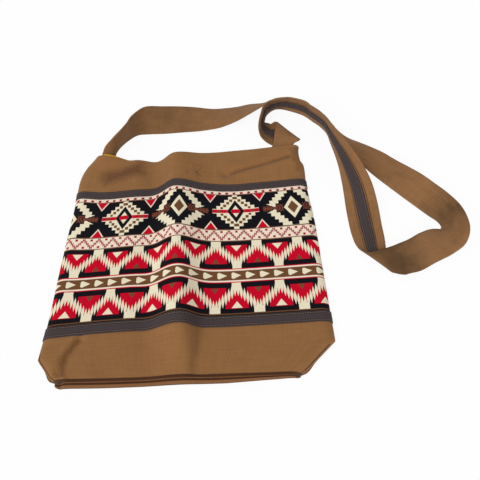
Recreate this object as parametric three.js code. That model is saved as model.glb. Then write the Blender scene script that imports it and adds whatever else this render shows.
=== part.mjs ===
import * as THREE from 'three';

// A canvas crossbody bag that lies on its back, with its front up and its strap beside it.
// Millimetres: +X runs across the bag, +Y towards its mouth and +Z up from the ground.
// The origin is on the ground, under the middle of the bag.

// Cloth and trim.
const canvasThickness = 1.2;
const liningThickness = 0.6;
const tapeThickness = 0.8;
const trimTapeWidth = 15;
const strapWidth = 46;
const strapThickness = 2.4;
const strapTapeWidth = 16;
const clearance = 0.3;

// The bag as it lies.
const loftHeight = 11.5;
const sideRoll = 16;
const baseDepth = 72;
const baseBulge = 6.5;
const liningInset = 4;
const liningStop = 14;
const liningSlack = 1.6;

// The old fold down the middle of the front, which still stands up as a ridge with a hollow beside it.
const ridgeTop = { x: -14, height: 15.5, left: 14, right: 25 };
const ridgeBottom = { x: -8, height: 22, left: 23, right: 14 };
const hollow = { x: -51, depth: 5, reach: 13 };

// The corner of the mouth that the left end of the strap lifts, and a soft crease beside the right one.
const cornerLift = { x: -130, y: 186, height: 8, reach: 16 };
const mouthCrease = { from: [84, 134], to: [186, 160], height: 3, reach: 9 };
const baseCrease = { from: [-137, -141], to: [-160, -180], height: 3, reach: 9 };

// The magnetic snap inside the mouth.
const snapPlace = { x: 21, y: 134 };
const snapRadius = 9;
const snapHeight = 2.6;
const snapNubRadius = 3;
const snapNubHeight = 1.6;

const canvas = new THREE.MeshStandardMaterial({ color: 0x85613d, roughness: 0.9, metalness: 0 });
const print = new THREE.MeshStandardMaterial({ color: 0x8a3a34, roughness: 0.85, metalness: 0 });
const tape = new THREE.MeshStandardMaterial({ color: 0x413533, roughness: 0.8, metalness: 0 });
const lining = new THREE.MeshStandardMaterial({ color: 0xc8963c, roughness: 0.8, metalness: 0 });
const steel = new THREE.MeshStandardMaterial({ color: 0xb8b4ab, roughness: 0.3, metalness: 1 });

const { lerp, clamp, degToRad } = THREE.MathUtils;

// A smooth curve through a few [place, value] pairs.
function curveThrough(pairs) {
  const last = pairs.length - 1;
  const slopeAt = (i) => {
    const [x0, y0] = pairs[Math.max(i - 1, 0)];
    const [x1, y1] = pairs[Math.min(i + 1, last)];
    return (y1 - y0) / (x1 - x0);
  };
  return (place) => {
    const x = clamp(place, pairs[0][0], pairs[last][0]);
    let i = 0;
    while (i < last - 1 && x > pairs[i + 1][0]) {
      i += 1;
    }
    const [x0, y0] = pairs[i];
    const [x1, y1] = pairs[i + 1];
    const span = x1 - x0;
    const t = (x - x0) / span;
    const rise = y1 - y0;
    const a = slopeAt(i) * span - rise;
    const b = rise - slopeAt(i + 1) * span;
    return y0 + rise * t + t * (1 - t) * (a * (1 - t) + b * t);
  };
}

// The two sides of the bag, as X for each Y.
const leftSide = curveThrough([
  [-160, -188], [-110, -183], [0, -177.5], [90, -171.5], [135, -170], [160, -163], [178, -151], [192, -143],
]);
const rightSide = curveThrough([
  [-160, 188], [-60, 190.5], [30, 193], [100, 191.5], [143, 193.5], [154, 189.5], [176, 189.5], [192, 193],
]);

// The lines across the front, as Y for each share of the width.
const bottomSeam = curveThrough([[0, -187], [0.2, -191], [0.5, -194], [1, -200]]);
const lowerTape = curveThrough([[0, -117], [0.2, -115], [0.4, -115], [0.6, -118], [1, -120]]);
const upperTape = curveThrough([
  [0, 109], [0.12, 103], [0.25, 105], [0.38, 110], [0.55, 107], [0.7, 104], [1, 109],
]);
const mouth = curveThrough([
  [0, 180.5], [0.1, 174.5], [0.27, 168], [0.36, 165], [0.43, 168], [0.54, 174], [0.65, 177], [0.8, 180],
  [1, 186.5],
]);

// The boxed bottom corners, folded back: how far each runs across and along the bag. Each ends in a
// small round where it meets the bottom seam.
const leftCorner = { across: 23, along: 30 };
const rightCorner = { across: 49, along: 41 };
const cornerRound = 9;

function roundInset(rise) {
  const share = clamp(1 - rise / cornerRound, 0, 1);
  return cornerRound * (1 - Math.sqrt(1 - share ** 2));
}

function leftEdge(y) {
  const cut = bottomSeam(0) + leftCorner.along - y;
  const folded = Math.max(0, cut / leftCorner.along) * leftCorner.across;
  return leftSide(y) + folded + roundInset(y - bottomSeam(0));
}

function rightEdge(y) {
  const cut = bottomSeam(1) + rightCorner.along - y;
  const folded = Math.max(0, cut / rightCorner.along) * rightCorner.across;
  return rightSide(y) - folded - roundInset(y - bottomSeam(1));
}

function hump(distance, reach) {
  return Math.exp(-0.5 * (distance / reach) ** 2);
}

function ridgeHeight(x, y) {
  const up = clamp((y - lowerTape(0)) / (upperTape(0) - lowerTape(0)), -1, 1.6);
  const side = x < lerp(ridgeBottom.x, ridgeTop.x, up) ? 'left' : 'right';
  const along = clamp(up, 0, 1);
  const reach = lerp(ridgeBottom[side], ridgeTop[side], along);
  const fade = THREE.MathUtils.smoothstep(y, bottomSeam(0.5) - 12, lowerTape(0)) * 0.85 + 0.15;
  const height = lerp(ridgeBottom.height, ridgeTop.height, along);
  const fold = height * hump(x - lerp(ridgeBottom.x, ridgeTop.x, up), reach);
  return (fold - hollow.depth * hump(x - hollow.x, hollow.reach)) * (up < 0 ? fade : 1);
}

function creaseHeight(x, y, crease) {
  const start = new THREE.Vector2(...crease.from);
  const along = new THREE.Vector2(...crease.to).sub(start);
  const place = new THREE.Vector2(x, y).sub(start);
  const share = clamp(place.dot(along) / along.lengthSq(), 0, 1);
  return crease.height * hump(place.distanceTo(along.multiplyScalar(share)), crease.reach);
}

// The height of the middle of the front cloth, or of a layer that is inset and lower by the given amounts.
function frontHeight(x, y, inset = 0, drop = 0) {
  const lift = cornerLift.height * hump(Math.hypot(x - cornerLift.x, y - cornerLift.y), cornerLift.reach);
  const creases = creaseHeight(x, y, mouthCrease) + creaseHeight(x, y, baseCrease);
  const loft = loftHeight + ridgeHeight(x, y) + lift + creases - drop;
  const fromSide = Math.min(x - leftEdge(y), rightEdge(y) - x) - inset;
  const share = clamp(fromSide / sideRoll, 0, 1);
  const seamHeight = canvasThickness + clearance + (inset > 0 ? liningThickness + clearance : 0);
  return lerp(seamHeight, loft, Math.sqrt(1 - (1 - share) ** 2));
}

// Turns the diagonals of a sheet's under side to lie below those of its upper side, so that layers
// stay parallel where the cloth twists.
function turnDiagonals(geometry) {
  const { start, count } = geometry.groups.at(-1);
  const index = geometry.index;
  for (let i = start; i < start + count; i += 6) {
    const [a, b, d, , c] = index.array.slice(i, i + 6);
    [a, b, c, a, c, d].forEach((corner, k) => index.setX(i + k, corner));
  }
}

// A flat box bent so that it follows pointAt(u, v), with its thickness laid off along the normal.
function bentSheet(columns, rows, thickness, pointAt, lift = 0) {
  const geometry = new THREE.BoxGeometry(1, 1, 1, columns, rows, 1);
  turnDiagonals(geometry);
  const position = geometry.attributes.position;
  const corner = new THREE.Vector3();
  const step = 1e-3;
  for (let i = 0; i < position.count; i += 1) {
    corner.fromBufferAttribute(position, i);
    const u = corner.x + 0.5;
    const v = corner.y + 0.5;
    const across = pointAt(Math.min(u + step, 1), v).sub(pointAt(Math.max(u - step, 0), v));
    const along = pointAt(u, Math.min(v + step, 1)).sub(pointAt(u, Math.max(v - step, 0)));
    const normal = across.cross(along).normalize();
    const point = pointAt(u, v).addScaledVector(normal, corner.z * thickness + lift);
    position.setXYZ(i, point.x, point.y, point.z);
  }
  geometry.computeVertexNormals();
  return geometry;
}

// Columns stand closer together at the sides, where the cloth turns down.
function spread(u) {
  return lerp(u, 0.5 - 0.5 * Math.cos(Math.PI * u), 0.8);
}

function frontPoint(u, y, inset = 0, drop = 0) {
  const x = lerp(leftEdge(y) + inset, rightEdge(y) - inset, spread(u));
  return new THREE.Vector3(x, y, frontHeight(x, y, inset, drop));
}

const frontColumns = 32;

function frontBand(rows, lower, upper, thickness = canvasThickness, lift = 0) {
  const pointAt = (u, v) => frontPoint(u, lerp(lower(spread(u)), upper(spread(u)), v));
  return bentSheet(frontColumns, rows, thickness, pointAt, lift);
}

// The front's cloths meet edge to edge under the middle of each tape.
const halfTape = trimTapeWidth / 2;
const tapeLift = canvasThickness / 2 + clearance + tapeThickness / 2;
const topJoin = (u) => upperTape(u) - halfTape;
const bottomJoin = (u) => lowerTape(u) - halfTape;
const halfGap = clearance / 2;

function trimTape(upper) {
  return frontBand(2, (u) => upper(u) - trimTapeWidth, upper, tapeThickness, tapeLift);
}

// The base folds under the bag: a flat part on the ground, and a turn up to the front's bottom seam.
const flatShare = 0.45;
const lipInset = 3;

function basePoint(u, v) {
  const share = spread(u);
  const seam = bottomSeam(share);
  const flat = clamp(v / flatShare, 0, 1);
  const y = lerp(seam + baseDepth, seam, flat);
  const inset = lerp(canvasThickness, lipInset, flat * flat);
  const x = lerp(leftEdge(y) + inset, rightEdge(y) - inset, share);
  const turn = Math.PI * clamp((v - flatShare) / (1 - flatShare), 0, 1);
  const lip = frontHeight(x, seam) - canvasThickness - 2 * clearance;
  const fromEnd = Math.min(x - leftEdge(y), rightEdge(y) - x) - inset;
  const full = Math.min(1, 2.2 * (1 - share) + 0.25) * (1 - roundInset(fromEnd) / cornerRound);
  const bulge = baseBulge * full * Math.sin(turn);
  const z = lerp(canvasThickness / 2, lip, (1 - Math.cos(turn)) / 2);
  return new THREE.Vector3(x, y - bulge, z);
}

// A flat layer of the back, cut to the bag's outline.
function backLayer(inset, lower, mouthDrop, thickness) {
  const outline = [];
  const steps = 14;
  for (let i = 0; i <= steps; i += 1) {
    const y = lerp(lower(0), mouth(0) - mouthDrop, i / steps);
    outline.push(new THREE.Vector2(leftEdge(y) + inset, y));
  }
  for (let i = 1; i < steps; i += 1) {
    const u = i / steps;
    const y = mouth(u) - mouthDrop;
    outline.push(new THREE.Vector2(lerp(leftEdge(y) + inset, rightEdge(y) - inset, u), y));
  }
  for (let i = steps; i >= 0; i -= 1) {
    const y = lerp(lower(1), mouth(1) - mouthDrop, i / steps);
    outline.push(new THREE.Vector2(rightEdge(y) - inset, y));
  }
  for (let i = steps - 1; i > 0; i -= 1) {
    const y = lower(i / steps);
    outline.push(new THREE.Vector2(lerp(leftEdge(y) + inset, rightEdge(y) - inset, i / steps), y));
  }
  return new THREE.ExtrudeGeometry(new THREE.Shape(outline), { depth: thickness, bevelEnabled: false });
}

const liningDrop = (canvasThickness + liningThickness) / 2 + clearance + liningSlack;

function liningPoint(u, v) {
  const share = spread(u);
  const y = lerp(bottomSeam(share) + liningStop, mouth(share) + 0.8, v);
  return frontPoint(u, y, liningInset, liningDrop);
}

// The strap's route, from the right corner of the mouth to the left one. Each row is a line across the
// strap: its middle as x, y and z, its heading and rise in degrees, and its length. The lines slant where
// the strap folds over, beside the right corner and at its lowest bend. It is narrower where it is sewn in.
const strapRoute = [
  [157, 168, 5, 0, 0, 28],
  [159, 182, 5.5, 0, 0, 29],
  [167, 193, 8.5, -4, 0, 35],
  [172, 201, 11, -14, 1, 41],
  [174, 209, 12, -30, -1, 44],
  [177, 216, 11, -43, -4, 49],
  [178, 221, 9, -50, -5, 53],
  [175, 223, 6.5, -54, -5, 56],
  [170, 222, 6, -61, -6, 54],
  [156, 218, 6, -79, -7, 48],
  [150, 216, 7, -90, -5, 47],
  [143, 219, 9, -100, 1, 47],
  [136, 223, 13, -109, 13, strapWidth],
  [133, 229, 17, -112, 29, 47],
  [133, 237, 19.5, -111, 44, 48],
  [136, 246, 22, -111, 56, 48],
  [140, 258, 23, -109, 63, 47],
  [148, 268, 23, -99, 66, strapWidth],
  [158, 274, 22.5, -90, 63, strapWidth],
  [168, 277, 22.5, -82, 62, 47],
  [182, 276, 22.5, -81, 65, strapWidth],
  [204, 265, 23, -95, 69, strapWidth],
  [214, 256, 23.5, -108, 70, strapWidth],
  [222, 246, 22, 40, 109, strapWidth],
  [231, 235, 22, 30, 109, strapWidth],
  [241, 217, 22, 16, 106, strapWidth],
  [246, 194, 23, 6, 99, strapWidth],
  [252, 167, 23, 2, 90, strapWidth],
  [258, 139, 22, -1, 77, strapWidth],
  [263, 111, 20, -4, 60, strapWidth],
  [267, 80, 14, -3, 40, strapWidth],
  [268, 49, 8, -3, 22, strapWidth],
  [268, 15, 3, -2, 6, strapWidth],
  [268, -6, 2.5, -5, 2, 45],
  [267, -25, 2.5, -24, -1, 44],
  [268, -38, 3.5, -37, -3, 45],
  [270, -47, 6, -46, -4, 45],
  [278, -52, 8.5, -53, -4, 44],
  [296, -52, 12, -75, -7, 44],
  [305, -48, 13, -88, -10, strapWidth],
  [322, -43, 13, -76, -18, strapWidth],
  [344, -34, 13, -64, -20, strapWidth],
  [366, -23, 11, -57, -12, strapWidth],
  [383, -13, 9, -46, 0, strapWidth],
  [392, -4, 9, -28, 12, strapWidth],
  [395, 8, 11, -4, 24, strapWidth],
  [393, 24, 11, 24, 26, strapWidth],
  [384, 42, 11, 34, 24, strapWidth],
  [370, 63, 12, 36, 24, strapWidth],
  [352, 86, 12, 36, 24, strapWidth],
  [325, 126, 7, 33, 10, strapWidth],
  [311, 147, 6, 32, 2, strapWidth],
  [293, 166, 9, 30, -12, strapWidth],
  [277, 184, 14, 27, -32, strapWidth],
  [263, 200, 18, 24, -48, strapWidth],
  [252, 218, 19, 24, -56, strapWidth],
  [242, 237, 19, 34, -57, strapWidth],
  [229, 255, 19, 44, -56, strapWidth],
  [215, 269, 19, 50, -56, strapWidth],
  [199, 280, 19, 62, -56, strapWidth],
  [179, 288, 18, 82, -52, strapWidth],
  [159, 290, 17, 95, -48, strapWidth],
  [141, 287, 14.5, 101, -40, strapWidth],
  [123, 284, 12, 108, -30, strapWidth],
  [104, 277, 11, 111, -22, strapWidth],
  [82, 270, 9, 108, -10, strapWidth],
  [54, 265, 7, 104, 4, strapWidth],
  [22, 262, 10, 99, 20, strapWidth],
  [-8, 260, 13, 94, 29, strapWidth],
  [-36, 257, 16, 93, 38, strapWidth],
  [-64, 252, 20, 98, 60, strapWidth],
  [-84, 239, 22, 110, 92, strapWidth],
  [-96, 224, 22, 130, 103, strapWidth],
  [-106, 210, 22, 140, 106, strapWidth],
  [-116, 199, 19, 142, 96, 36],
  [-125, 190, 12, 150, 60, 24],
  [-129, 180, 8, 162, 18, 19],
  [-131, 170, 6.5, 172, 6, 19],
  [-132, 160, 6, 176, 2, 19],
];
const strapSteps = 2 * (strapRoute.length - 1);

// One edge of the strap, on a smooth curve that stays on or above the ground.
function strapEdge(side) {
  const points = strapRoute.map(([x, y, z, heading, rise, width]) => {
    const turn = degToRad(heading);
    const slope = degToRad(rise);
    const level = Math.cos(slope);
    const across = new THREE.Vector3(level * Math.cos(turn), level * Math.sin(turn), Math.sin(slope));
    const reach = Math.abs(across.z) * width / 2 + strapThickness * Math.abs(level) / 2;
    const middle = new THREE.Vector3(x, y, Math.max(z, reach + clearance));
    return middle.addScaledVector(across, side * width / 2);
  });
  return new THREE.CatmullRomCurve3(points, false, 'catmullrom', 0.5);
}

const strapStart = strapEdge(-1);
const strapEnd = strapEdge(1);

function strapPoint(share, v) {
  return strapStart.getPoint(v).lerp(strapEnd.getPoint(v), share);
}

function strapTapePoint(share, v) {
  return strapPoint(0.5 + (share - 0.5) * strapTapeWidth / strapWidth, v);
}

const strapTapeLift = -(strapThickness + tapeThickness) / 2 - 2 * clearance;

function snapSocket() {
  const profile = [
    [0, snapNubHeight], [snapNubRadius + 0.5, snapNubHeight], [snapNubRadius + 0.5, 0],
    [snapRadius - 0.8, 0], [snapRadius, 0.8], [snapRadius, snapHeight], [0, snapHeight],
  ];
  return new THREE.LatheGeometry(profile.map(([x, y]) => new THREE.Vector2(x, y)), 24).rotateX(Math.PI / 2);
}

function snapStud() {
  const profile = [
    [0, 0], [snapRadius, 0], [snapRadius, snapHeight - 1.4], [snapRadius - 0.8, snapHeight - 0.6],
    [snapNubRadius, snapHeight - 0.6], [snapNubRadius, snapHeight + snapNubHeight - 0.9],
    [0, snapHeight + snapNubHeight - 0.6],
  ];
  return new THREE.LatheGeometry(profile.map(([x, y]) => new THREE.Vector2(x, y)), 24).rotateX(Math.PI / 2);
}

function frontNormal(x, y) {
  const step = 0.5;
  const slopeX = (frontHeight(x + step, y) - frontHeight(x - step, y)) / (2 * step);
  const slopeY = (frontHeight(x, y + step) - frontHeight(x, y - step)) / (2 * step);
  return new THREE.Vector3(-slopeX, -slopeY, 1).normalize();
}

const bag = new THREE.Group();

function add(name, geometry, material) {
  const mesh = new THREE.Mesh(geometry, material);
  mesh.name = name;
  bag.add(mesh);
  return mesh;
}

add('front_top_band', frontBand(6, (u) => topJoin(u) + halfGap, mouth), canvas);
add('front_print_panel', frontBand(12, (u) => bottomJoin(u) + halfGap, (u) => topJoin(u) - halfGap), print);
add('front_base_band', frontBand(7, bottomSeam, (u) => bottomJoin(u) - halfGap), canvas);
add('trim_tape_top', trimTape(upperTape), tape);
add('trim_tape_bottom', trimTape(lowerTape), tape);

const backStart = (u) => bottomSeam(u) + baseDepth + clearance;
add('back_panel', backLayer(0, backStart, 2, canvasThickness), canvas);
add('base_panel', bentSheet(24, 11, canvasThickness, basePoint), canvas);
add('lining_front', bentSheet(frontColumns, 10, liningThickness, liningPoint), lining);
const liningStart = (u) => bottomSeam(u) + liningStop;
const liningBack = add('lining_back', backLayer(liningInset, liningStart, 3, liningThickness), lining);
liningBack.position.z = canvasThickness + clearance;

add('shoulder_strap', bentSheet(3, strapSteps, strapThickness, strapPoint), canvas);
add('strap_tape', bentSheet(1, strapSteps, tapeThickness, strapTapePoint, strapTapeLift), tape);

const snapNormal = frontNormal(snapPlace.x, snapPlace.y);
const socketDrop = liningDrop + liningThickness / 2 + clearance + snapHeight;
const socket = add('snap_socket', snapSocket(), steel);
socket.position.set(snapPlace.x, snapPlace.y, frontHeight(snapPlace.x, snapPlace.y));
socket.position.addScaledVector(snapNormal, -socketDrop);
socket.quaternion.setFromUnitVectors(new THREE.Vector3(0, 0, 1), snapNormal);
const stud = add('snap_stud', snapStud(), steel);
stud.position.set(snapPlace.x, snapPlace.y, canvasThickness + liningThickness + 2 * clearance);

export default bag;
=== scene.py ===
import math

import bpy
import numpy as np
from mathutils import Matrix, Vector


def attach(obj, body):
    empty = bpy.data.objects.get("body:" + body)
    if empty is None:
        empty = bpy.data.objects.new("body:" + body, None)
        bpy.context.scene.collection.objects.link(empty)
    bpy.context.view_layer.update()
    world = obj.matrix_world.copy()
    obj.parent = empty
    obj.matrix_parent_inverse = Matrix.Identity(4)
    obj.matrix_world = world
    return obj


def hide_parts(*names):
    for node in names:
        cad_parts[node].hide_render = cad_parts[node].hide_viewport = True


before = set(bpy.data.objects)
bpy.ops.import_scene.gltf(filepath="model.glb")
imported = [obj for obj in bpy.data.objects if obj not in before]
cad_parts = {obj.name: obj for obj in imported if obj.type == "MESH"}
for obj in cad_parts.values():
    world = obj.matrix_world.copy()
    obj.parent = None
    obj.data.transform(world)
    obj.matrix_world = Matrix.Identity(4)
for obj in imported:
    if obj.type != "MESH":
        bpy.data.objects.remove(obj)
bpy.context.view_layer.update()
print("frame loaded")

# All sizes of the bag are in millimetres here, and meshes are made in metres.
mm = 0.001

# The photograph's point of view: where the camera stands and how it looks, in metres.
photoView = {
    "place": (0.0504, -0.3601, 0.5562),
    "forward": (0.0414, 0.5504, -0.8339),
    "right": (0.9972, -0.0750, 0.0),
    "lens": 33.75,
}


def addCamera(view):
    data = bpy.data.cameras.new("photoCamera")
    data.lens = view["lens"]
    data.sensor_width = 36.0
    data.clip_start = 0.01
    data.clip_end = 20.0
    camera = bpy.data.objects.new("photoCamera", data)
    bpy.context.scene.collection.objects.link(camera)
    forward = Vector(view["forward"]).normalized()
    right = Vector(view["right"]).normalized()
    up = right.cross(forward).normalized()
    turn = Matrix((right, up, -forward)).transposed().to_4x4()
    camera.matrix_world = Matrix.Translation(Vector(view["place"])) @ turn
    bpy.context.scene.camera = camera


addCamera(photoView)
print("camera placed")


# Shader maths: a Shade wraps one socket, so that a mask or a colour is written as an expression.
class Shade:
    def __init__(self, tree, socket):
        self.tree = tree
        self.socket = socket

    def math(self, operation, *values, clamp=False):
        inputs = {i: value for i, value in enumerate(values)}
        settings = {"operation": operation, "use_clamp": clamp}
        return self.tree.node("ShaderNodeMath", settings, inputs)

    def __add__(self, other):
        return self.math("ADD", self, other)

    def __radd__(self, other):
        return self.math("ADD", other, self)

    def __sub__(self, other):
        return self.math("SUBTRACT", self, other)

    def __rsub__(self, other):
        return self.math("SUBTRACT", other, self)

    def __mul__(self, other):
        return self.math("MULTIPLY", self, other)

    def __rmul__(self, other):
        return self.math("MULTIPLY", other, self)

    def __truediv__(self, other):
        return self.math("DIVIDE", self, other)

    def __rtruediv__(self, other):
        return self.math("DIVIDE", other, self)

    def __mod__(self, other):
        return self.math("FLOORED_MODULO", self, other)

    def __neg__(self):
        return self.math("MULTIPLY", self, -1.0)

    def __abs__(self):
        return self.math("ABSOLUTE", self)

    # Values are also distances to an edge, negative inside: & keeps what two shapes share, and | joins them.
    def __and__(self, other):
        return self.math("MAXIMUM", self, other)

    def __rand__(self, other):
        return self.math("MAXIMUM", other, self)

    def __or__(self, other):
        return self.math("MINIMUM", self, other)

    def __ror__(self, other):
        return self.math("MINIMUM", other, self)

    def floor(self):
        return self.math("FLOOR", self)

    def wave(self):
        return self.math("SINE", self)

    # A soft-edged mask: 1 where the distance is negative and 0 where it is positive.
    def inside(self, edge=0.35):
        return self.math("MULTIPLY_ADD", self, -1.0 / edge, 0.5, clamp=True)

    # Another output of the node that this value comes from.
    def output(self, name):
        return Shade(self.tree, self.socket.node.outputs[name])


class Tree:
    def __init__(self, owner):
        owner.use_nodes = True
        self.owner = owner
        self.nodes = owner.node_tree.nodes
        self.links = owner.node_tree.links
        self.nodes.clear()

    # Every node is made here: its type, its settings, then the values or links of its sockets.
    def node(self, kind, settings=None, inputs=None, out=0):
        made = self.nodes.new(kind)
        for key, value in (settings or {}).items():
            setattr(made, key, value)
        for key, value in (inputs or {}).items():
            socket = made.inputs[key]
            if isinstance(value, Shade):
                self.links.new(value.socket, socket)
            else:
                socket.default_value = value
        return Shade(self, made.outputs[out]) if len(made.outputs) else None

    # The cloth's own coordinates in millimetres: across it and along it.
    def clothPlace(self):
        uv = self.node("ShaderNodeUVMap", {"uv_map": "cloth"})
        across = self.node("ShaderNodeSeparateXYZ", None, {0: uv})
        return across * 1000.0, across.output("Y") * 1000.0

    def noise(self, place, scale, detail, roughness):
        inputs = {"Vector": place, "Scale": scale, "Detail": detail, "Roughness": roughness}
        return self.node("ShaderNodeTexNoise", {"noise_dimensions": "3D"}, inputs)

    # Noise round 0 over the cloth.
    def grain(self, x, y, detail, roughness):
        place = self.node("ShaderNodeCombineXYZ", None, {0: x, 1: y})
        return self.noise(place, 1.0, detail, roughness) - 0.5

    def mix(self, base, top, mask):
        settings = {"data_type": "RGBA", "blend_type": "MIX", "clamp_factor": True}
        return self.node("ShaderNodeMix", settings, {0: mask, 6: base, 7: top}, out=2)

    # The colour made darker or lighter by a value round 1.
    def shade(self, colour, tone):
        grey = self.node("ShaderNodeCombineColor", None, {0: tone, 1: tone, 2: tone})
        settings = {"data_type": "RGBA", "blend_type": "MULTIPLY"}
        return self.node("ShaderNodeMix", settings, {0: 1.0, 6: colour, 7: grey}, out=2)

    def bump(self, height, strength, distance):
        inputs = {"Strength": strength, "Distance": distance, "Height": height}
        return self.node("ShaderNodeBump", None, inputs)

    def surface(self, inputs):
        shader = self.node("ShaderNodeBsdfPrincipled", None, inputs)
        self.node("ShaderNodeOutputMaterial", None, {"Surface": shader})
        return self.owner


def materialTree(name):
    return Tree(bpy.data.materials.new(name))


# An sRGB colour as it looks on screen, for a colour socket.
def paint(red, green, blue):
    def linear(value):
        share = value / 255.0
        return share / 12.92 if share <= 0.04045 else ((share + 0.055) / 1.055) ** 2.4
    return (linear(red), linear(green), linear(blue), 1.0)


# What every weave shares: how fast its slubs change across a thread and along it, how slowly its tone
# drifts, how far the slubs stand out, and how much the threads' crossings change the tone.
weaveGrain = {"across": 0.9, "along": 0.06, "slow": 0.02, "relief": 1.2, "crossings": 0.05}


# A plain weave: threads over and under, with slubs and a slow change of tone.
def weave(tree, x, y, look):
    turn = 2.0 * math.pi / look["threadPitch"]
    threads = ((x * turn).wave() * (y * turn).wave()) * 0.5
    across, along, slow = weaveGrain["across"], weaveGrain["along"], weaveGrain["slow"]
    warp = tree.grain(x * across, y * along, 3.0, 0.6)
    weft = tree.grain(x * along, y * across, 3.0, 0.6)
    drift = tree.grain(x * slow, y * slow, 3.0, 0.55) * (look["drift"] * 2.0)
    tone = 1.0 + (warp + weft) * (look["slub"] * 2.0) + drift + threads * weaveGrain["crossings"]
    height = threads + (warp + weft) * weaveGrain["relief"]
    return tone, height


# A soft mark on the cloth: 1 along the line between two places, falling to 0 at its reach.
def stroke(x, y, start, end, reach):
    length = math.dist(start, end)
    aheadX, aheadY = (end[0] - start[0]) / length, (end[1] - start[1]) / length
    along = (x - start[0]) * aheadX + (y - start[1]) * aheadY
    across = (y - start[1]) * aheadX - (x - start[0]) * aheadY
    beyond = abs(along - length / 2) - length / 2
    return (1.0 - (abs(across) & beyond) / reach) & 0.0


# How far a place is from the nearest of the places that repeat at each period.
def folded(x, start, period):
    return abs((x - start + period / 2) % period - period / 2)


# The distance to a band with a start and a thickness.
def between(y, start, thickness):
    return abs(y - (start + thickness / 2)) - thickness / 2


# The distance to a box round 0, from its half width and half height.
def boxShape(x, rise, half):
    return (x - half[0]) & (rise - half[1])


# The distance to a diamond round 0, as a share of its half width and half height.
def diamondShape(x, rise, half):
    return x / half[0] + rise / half[1] - 1.0


# The brown canvas. Its dark colour serves for mottle and for painted shade, and its seam colour for the dark
# lines at seams and for painted shade in gaps and grooves.
canvasLook = {
    "colour": (147, 104, 63),
    "dark": (112, 74, 44),
    "seam": (58, 32, 20),
    "threadPitch": 0.9,
    "slub": 0.09,
    "drift": 0.05,
    "gridPitch": 2.6,
    "gridRun": 0.02,
    "gridTone": 0.22,
    "seamStrength": 0.92,
    "seamDepth": 1.5,
    "roughness": 0.9,
}
mottleLook = {"pace": 0.02, "strength": 0.9}


# Where the canvas turns to its dark colour: slowly all over, as mottle, and along strokes of painted shade.
# Each stroke has its two ends, its reach and its strength.
def mottleAndShade(tree, x, y, strokes=()):
    pace = mottleLook["pace"]
    marks = tree.grain(x * pace, y * pace, 2.0, 0.5) * mottleLook["strength"]
    for start, end, reach, strength in strokes:
        marks = marks + stroke(x, y, start, end, reach) * strength
    return marks


# What each brown piece adds to the canvas: a mask for its dark marks, mottle and painted shade, and the
# distance to its dark lines at seams and grooves.
def plainMarks(tree, x, y):
    return mottleAndShade(tree, x, y), None


# Painted shade on the top band: a dark patch at the dent on the left, and dark strokes along the crease on
# the right, the snap's wrinkles and the crease at the right end.
mouthShadeStrokes = (
    ((-134.0, 136.0), (-98.0, 148.0), 21.0, 1.25),
    ((66.0, 130.0), (168.0, 160.0), 6.5, 0.75),
    ((2.0, 125.0), (13.5, 140.0), 1.6, 0.6),
    ((14.0, 122.0), (6.5, 131.0), 2.0, 0.7),
    ((6.0, 131.0), (1.0, 139.0), 1.4, 0.5),
    ((8.0, 119.0), (7.0, 129.0), 1.5, 0.6),
    ((3.0, 143.0), (11.0, 145.0), 1.8, 0.4),
    ((176.0, 128.0), (180.0, 176.0), 6.0, 0.5),
)


def mouthMarks(tree, x, y):
    return mottleAndShade(tree, x, y, mouthShadeStrokes), None


# The base band: the top of the dark line along its bottom seam, which is painted shade in the seam's gap,
# its two corner seams, and strokes of painted shade along the crease and the fold.
bandLook = {
    "bottomSeam": 2.8,
    "cornerSeam": 184.8,
    "cornerHalf": 0.9,
    "cornerTop": 36.0,
    "strokes": (
        ((-142.0, 52.0), (-168.0, 8.0), 7.0, 0.85),
        ((12.0, 60.0), (8.0, 4.0), 9.0, 0.4),
    ),
}


def bandMarks(tree, x, y):
    look = bandLook
    corner = (abs(abs(x) - look["cornerSeam"]) - look["cornerHalf"]) & (y - look["cornerTop"])
    return mottleAndShade(tree, x, y, look["strokes"]), (y - look["bottomSeam"]) | corner


# The turned base: two dark lines along its strip, the first painted shade where it meets the front, and an
# olive part below the second, at the left.
stripLook = {
    **canvasLook,
    "colour": (130, 88, 54),
    "dark": (128, 104, 58),
    "line": 102.0,
    "lineHalf": 3.6,
    "fold": 83.0,
    "foldHalf": 2.0,
    "oliveEnd": 20.0,
    "oliveFade": 80.0,
}


def stripMarks(tree, x, y):
    look = stripLook
    lines = (abs(y - look["line"]) - look["lineHalf"]) | (abs(y - look["fold"]) - look["foldHalf"])
    below = (y - look["fold"]).inside(look["foldHalf"])
    return below * (x - look["oliveEnd"]).inside(look["oliveFade"]), lines


# The strap: painted shade makes it darker where it bends, and it has a groove on each side of its tape,
# darkened with painted shade. Each shade has its middle along the strap, its reach and its strength, and
# each groove its place and half its width. The inner face is 100 mm further across than the outer one, in
# the cloth's coordinates.
strapLook = {
    **canvasLook,
    "colour": (142, 102, 66),
    "dark": (94, 68, 43),
    "seam": (74, 48, 32),
    "mottle": 1.3,
    "mottleAcross": 0.05,
    "mottleAlong": 0.03,
    "paintedShade": ((98.0, 60.0, 0.5), (577.0, 50.0, 1.2), (718.0, 46.0, 0.75), (1280.0, 110.0, 0.4)),
    "grooves": ((110.2, 0.7), (89.8, 0.5)),
    "innerShift": 100.0,
}


def strapMarks(tree, x, y):
    look = strapLook
    patch = tree.grain(x * look["mottleAcross"], y * look["mottleAlong"], 3.0, 0.6) * look["mottle"]
    for middle, reach, strength in look["paintedShade"]:
        patch = patch + ((1.0 - abs(y - middle) / reach) & 0.0) * strength
    right, left = (abs(x - place) - half for place, half in look["grooves"])
    return patch, right | left


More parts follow.
